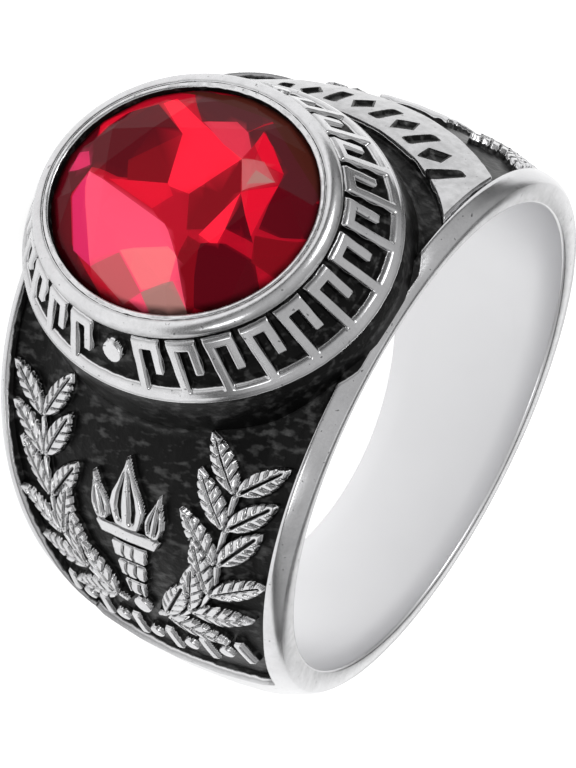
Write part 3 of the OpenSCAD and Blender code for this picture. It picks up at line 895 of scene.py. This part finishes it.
def plan(point):
    """A point of the stone as seen from over it: across the shoulders and along the finger, in millimetres."""
    d = (point - ORIGIN) * 1000
    return d.dot(ACROSS), d.dot(ALONG)


def touched(bm, corners):
    """The crown's faces whose plan meets the box round some corners."""
    low, high = np.min(corners, 0), np.max(corners, 0)
    found = []
    for face in facing_up(bm):
        spots = [plan(v.co) for v in face.verts]
        if (np.max(spots, 0) > low).all() and (np.min(spots, 0) < high).all():
            found.append(face)
    return found


def is_inside(x, z, sides):
    """Whether a place lies inside a closed line of sides."""
    crossed = [(z0 > z) != (z1 > z) and x < (x1 - x0) * (z - z0) / (z1 - z0) + x0
               for (x0, z0), (x1, z1) in sides]
    return sum(crossed) % 2 == 1


def cut_reflections(bm, layer, names):
    """Cuts the crown's flat facets along the reflections' borders, and marks each part with its tone."""
    for face in bm.faces:
        face[layer] = names.index("ruby")
    for tone, *corners in REFLECTIONS:
        sides = list(zip(corners, corners[1:] + corners[:1]))
        for start, end in sides:
            bmesh.ops.bisect_plane(bm, geom=with_edges(touched(bm, corners)), dist=1e-6,
                                   **side_plane(*start, *end))
        for face in touched(bm, corners):
            if is_inside(*plan(face.calc_center_median()), sides):
                face[layer] = names.index(tone)


def cut_shadow_ring(bm):
    """Cuts the crown along the inside of the painted shadow along the girdle."""
    for i in range(RING_CUTS):
        turn = 2 * math.pi * i / RING_CUTS
        c, k = math.cos(turn), math.sin(turn)
        spot = (ACROSS * (STONE[0] * c + RING_SHIFT) + ALONG * (STONE[1] * k)) * (RING_AT / 1000)
        bmesh.ops.bisect_plane(bm, geom=with_edges(facing_up(bm)), dist=1e-6, plane_co=ORIGIN + spot,
                               plane_no=(ACROSS * (c * STONE[1]) + ALONG * (k * STONE[0])).normalized())


def paint_facets(bm):
    """Gives each facet's part the red of its painted reflection, softened at its corners, and a painted shadow
    along the girdle.
    """
    layer = bm.faces.layers.int.new("tone_index")
    names = list(TONES)
    cut_reflections(bm, layer, names)
    cut_shadow_ring(bm)
    colour = bm.loops.layers.float_color.new("tone")
    own = {face: Vector(TONES[names[face[layer]]]) for face in bm.faces}
    for vert in bm.verts:
        around = sum((own[f] * f.calc_area() for f in vert.link_faces), Vector((0, 0, 0)))
        around /= sum(f.calc_area() for f in vert.link_faces) or 1
        x, z = plan(vert.co)
        share = math.hypot((x - RING_AT * RING_SHIFT) / STONE[0], z / STONE[1])
        light = 1 - GIRDLE_SHADOW_DARK * smooth(*RING_FADE, share)
        for loop in vert.link_loops:
            loop[colour] = (*own[loop.face].lerp(around, SOFTEN) * light, 1)


# ---- add-on


def colour_property(name, description, default):
    return bpy.props.FloatVectorProperty(
        name=name, description=description, subtype="COLOR", size=3, min=0, max=1, default=default)


def length_property(name, description, default):
    return bpy.props.FloatProperty(
        name=name, description=description, subtype="DISTANCE", precision=5, min=0, max=0.01, default=default)


class RingSettings(bpy.types.PropertyGroup):
    """Finishes of the metal and the stone."""

    metal: colour_property("Polished metal", "Colour of the polished steel", (0.6, 0.6, 0.61))
    antique: colour_property("Antique finish", "Colour of the black finish in recesses", (0.006, 0.006, 0.006))
    # Lighter than the polished metal: painted light on the bore's wall
    bore: colour_property("Bore", "Colour of the satin steel in the bore", (0.68, 0.68, 0.69))
    # The stone's glow is painted light: its facets give off light of their own, in their reds
    glow: bpy.props.FloatProperty(
        name="Stone glow", description="Light that the stone gives back", default=0.12, min=0, max=1)


class OrnamentSettings(bpy.types.PropertyGroup):
    """Sizes of the raised ornament."""

    leaf_length: length_property("Leaf length", "Length of the wreath's leaves", 0.0027)
    leaf_width: length_property("Leaf width", "Greatest width of a leaf", 0.00105)
    torch_handle: length_property("Torch handle", "Length of the torch's handle", 0.0029)
    ribbon_width: length_property("Ribbon width", "Width of the far shoulder's ribbon", 0.0022)
    fret_stroke: length_property("Fret stroke", "Width of the fret's strokes", 0.00046)

    def in_mm(self):
        """These lengths in millimetres, by name."""
        return {key: getattr(self, key) * 1000 for key in type(self).__annotations__}


class StageSettings(bpy.types.PropertyGroup):
    """Floor and light."""

    floor_colour: colour_property("Floor", "Colour of the pale floor", (0.6, 0.6, 0.6))
    floor_light: bpy.props.FloatProperty(
        name="Floor light", description="Light through the pale floor", default=0.84, min=0, max=2)
    sky: bpy.props.FloatProperty(
        name="Sky", description="Strength of the even studio light", default=0.7, min=0, max=5)


# The fitted view: how the picture's right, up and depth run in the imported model
VIEW = Matrix(((-0.51361, 0.5245, 0.67904), (-0.81421, -0.54759, -0.19289), (0.27066, -0.65195, 0.70831)))
VIEW_DISTANCE = 0.22689
PIXELS_PER_M = 24610
PICTURE = (576, 768)
# Where the bore's middle is in the picture
BORE_AT = (320.1, 393.3)
SENSOR = 36
# Name, place, size and power of each lamp
LAMPS = (
    ("key", (-0.25, -0.3, 0.4), 0.22, 1.0),
    ("side", (0.4, -0.15, 0.25), 0.15, 0.3),
    ("back", (-0.05, 0.45, 0.35), 0.25, 0.12),
)
# The studio's light from the horizon to overhead
SKY_TONES = [(0.0, 0.06), (0.12, 0.16), (0.4, 0.8), (0.8, 1.0)]
FLOOR_HALF, FLOOR_UNDER = 1.5, 0.00001


def make_camera():
    """The photo's view, with the bore's middle at its place in the picture."""
    right, up, toward = (Vector(row).normalized() for row in VIEW)
    up = toward.cross(right).normalized()
    right = up.cross(toward)
    bore = Vector((0, BORE_Y / 1000, BORE_Z / 1000))
    at = (bore + toward * VIEW_DISTANCE - right * ((BORE_AT[0] - PICTURE[0] / 2) / PIXELS_PER_M)
          + up * ((BORE_AT[1] - PICTURE[1] / 2) / PIXELS_PER_M))
    data = bpy.data.cameras.new("camera")
    data.sensor_width = SENSOR
    data.lens = PIXELS_PER_M * VIEW_DISTANCE * SENSOR / PICTURE[1]
    data.clip_start, data.clip_end = 0.01, 10
    camera = bpy.data.objects.new("camera", data)
    camera.matrix_world = Matrix.Translation(at) @ Matrix((right, up, toward)).transposed().to_4x4()
    bpy.context.collection.objects.link(camera)
    bpy.context.scene.camera = camera


def make_lamp(name, at, size, power):
    """A square lamp that faces the ring."""
    light = bpy.data.lights.new(name, "AREA")
    light.size, light.energy = size, power
    lamp = bpy.data.objects.new(name, light)
    lamp.location = at
    lamp.rotation_euler = (-Vector(at)).to_track_quat("-Z", "Y").to_euler()
    bpy.context.collection.objects.link(lamp)


def make_floor(settings):
    """A wide pale floor that comes out white."""
    floor = Finish("pale_floor")
    floor.set(Base_Color=(*settings.floor_colour, 1), Roughness=0.8, Emission_Color=(1, 1, 1, 1),
              Emission_Strength=settings.floor_light)
    bm = bmesh.new()
    bmesh.ops.create_grid(bm, x_segments=1, y_segments=1, size=FLOOR_HALF)
    mesh = bpy.data.meshes.new("floor")
    bm.to_mesh(mesh)
    bm.free()
    mesh.materials.append(floor.material)
    obj = bpy.data.objects.new("floor", mesh)
    obj.location.z = -FLOOR_UNDER
    bpy.context.collection.objects.link(obj)


def make_sky(settings):
    """An even studio light, dark at the horizon and white overhead."""
    world = bpy.data.worlds.new("studio")
    bpy.context.scene.world = world
    world.use_nodes = True
    sky = Nodes(world.node_tree)
    place = sky.node("ShaderNodeTexCoord", {}, output="Generated")
    rise = sky.node("ShaderNodeSeparateXYZ", {}, place, output="Z")
    back = world.node_tree.nodes["Background"]
    sky.feed(back.inputs["Color"], sky.ramp(rise, SKY_TONES))
    sky.feed(back.inputs["Strength"], settings.sky)


class RING_OT_stage(bpy.types.Operator):
    """Makes the camera, the floor and the studio light"""

    bl_idname = "ring.stage"
    bl_label = "Stage"

    def execute(self, context):
        settings = context.scene.ring_stage
        make_camera()
        make_floor(settings)
        for lamp in LAMPS:
            make_lamp(*lamp)
        make_sky(settings)
        context.scene.view_settings.view_transform = "Standard"
        return {"FINISHED"}


class RING_OT_finishes(bpy.types.Operator):
    """Makes the metal's and the stone's materials"""

    bl_idname = "ring.finishes"
    bl_label = "Finishes"

    def execute(self, context):
        metal_finish(context.scene.ring)
        bore_finish(context.scene.ring)
        stone_finish(context.scene.ring)
        return {"FINISHED"}


# The satin finish takes in the faces whose middle is within this of the bore's radius
SATIN_REACH = 0.045


def satin_bore(mesh):
    """Gives the faces of the bore the second finish."""
    for face in mesh.polygons:
        x, y, z = (face.center - ORIGIN) * 1000
        if math.hypot(x, y * COS - z * SIN) < BORE_R + SATIN_REACH:
            face.material_index = 1


class RING_OT_band(bpy.types.Operator):
    """Makes the band with its bore, side faces and polished rims"""

    bl_idname = "ring.band"
    bl_label = "Band"

    def execute(self, context):
        band = grid_piece("band", BAND_COLUMNS, BAND_ROWS, band_place, closed=True)
        finish_piece(band, "ring_metal", "antiqued_steel", "satin_steel")
        satin_bore(band.data)
        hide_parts("ring_casting")
        return {"FINISHED"}


class RING_OT_shoulders(bpy.types.Operator):
    """Makes the two shoulders' panels with their relief"""

    bl_idname = "ring.shoulders"
    bl_label = "Shoulders"

    def execute(self, context):
        cells = ((300, 320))
        sizes = context.scene.ring_ornament.in_mm()
        for name, relief, side in (("wreath_shoulder", near_relief, 1), ("ribbon_shoulder", far_relief, -1)):
            piece = shoulder_piece(name, partial(relief, sizes=sizes), side, cells)
            finish_piece(piece, "ring_metal", "antiqued_steel")
        return {"FINISHED"}


class RING_OT_collar(bpy.types.Operator):
    """Makes the collar with its fret, and the bezel"""

    bl_idname = "ring.collar"
    bl_label = "Collar"

    def execute(self, context):
        place = partial(collar_place, stroke=context.scene.ring_ornament.in_mm()["fret_stroke"])
        collar = grid_piece("collar", COLLAR_COLUMNS, COLLAR_ROWS, place, closed=True)
        finish_piece(collar, "ring_metal", "antiqued_steel")
        return {"FINISHED"}


class RING_OT_stone(bpy.types.Operator):
    """Makes the cut stone"""

    bl_idname = "ring.stone"
    bl_label = "Stone"

    def execute(self, context):
        bm = stone_mesh()
        paint_facets(bm)
        mesh = bpy.data.meshes.new("stone")
        bm.to_mesh(mesh)
        bm.free()
        obj = bpy.data.objects.new("cut_stone", mesh)
        finish_piece(obj, "red_stone", "cut_glass", flat=True)
        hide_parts("stone")
        return {"FINISHED"}


OPERATORS = (RING_OT_stage, RING_OT_finishes, RING_OT_band, RING_OT_shoulders, RING_OT_collar, RING_OT_stone)


class RING_PT_panel(bpy.types.Panel):
    """Lists the ring's settings and steps"""

    bl_idname = "RING_PT_panel"
    bl_label = "Class ring"
    bl_space_type = "VIEW_3D"
    bl_region_type = "UI"
    bl_category = "Ring"

    def draw(self, context):
        scene = context.scene
        for group in (scene.ring, scene.ring_ornament, scene.ring_stage):
            for key in type(group).__annotations__:
                self.layout.prop(group, key)
        for step in OPERATORS:
            self.layout.operator(step.bl_idname)


CLASSES = (RingSettings, OrnamentSettings, StageSettings, *OPERATORS, RING_PT_panel)


def register():
    for cls in CLASSES:
        bpy.utils.register_class(cls)
    bpy.types.Scene.ring = bpy.props.PointerProperty(type=RingSettings)
    bpy.types.Scene.ring_ornament = bpy.props.PointerProperty(type=OrnamentSettings)
    bpy.types.Scene.ring_stage = bpy.props.PointerProperty(type=StageSettings)


def unregister():
    del bpy.types.Scene.ring_stage
    del bpy.types.Scene.ring_ornament
    del bpy.types.Scene.ring
    for cls in reversed(CLASSES):
        bpy.utils.unregister_class(cls)


def main():
    register()
    bpy.ops.ring.stage()
    bpy.ops.ring.finishes()
    bpy.ops.ring.band()
    bpy.ops.ring.shoulders()
    bpy.ops.ring.collar()
    bpy.ops.ring.stone()


if __name__ == "__main__":
    main()
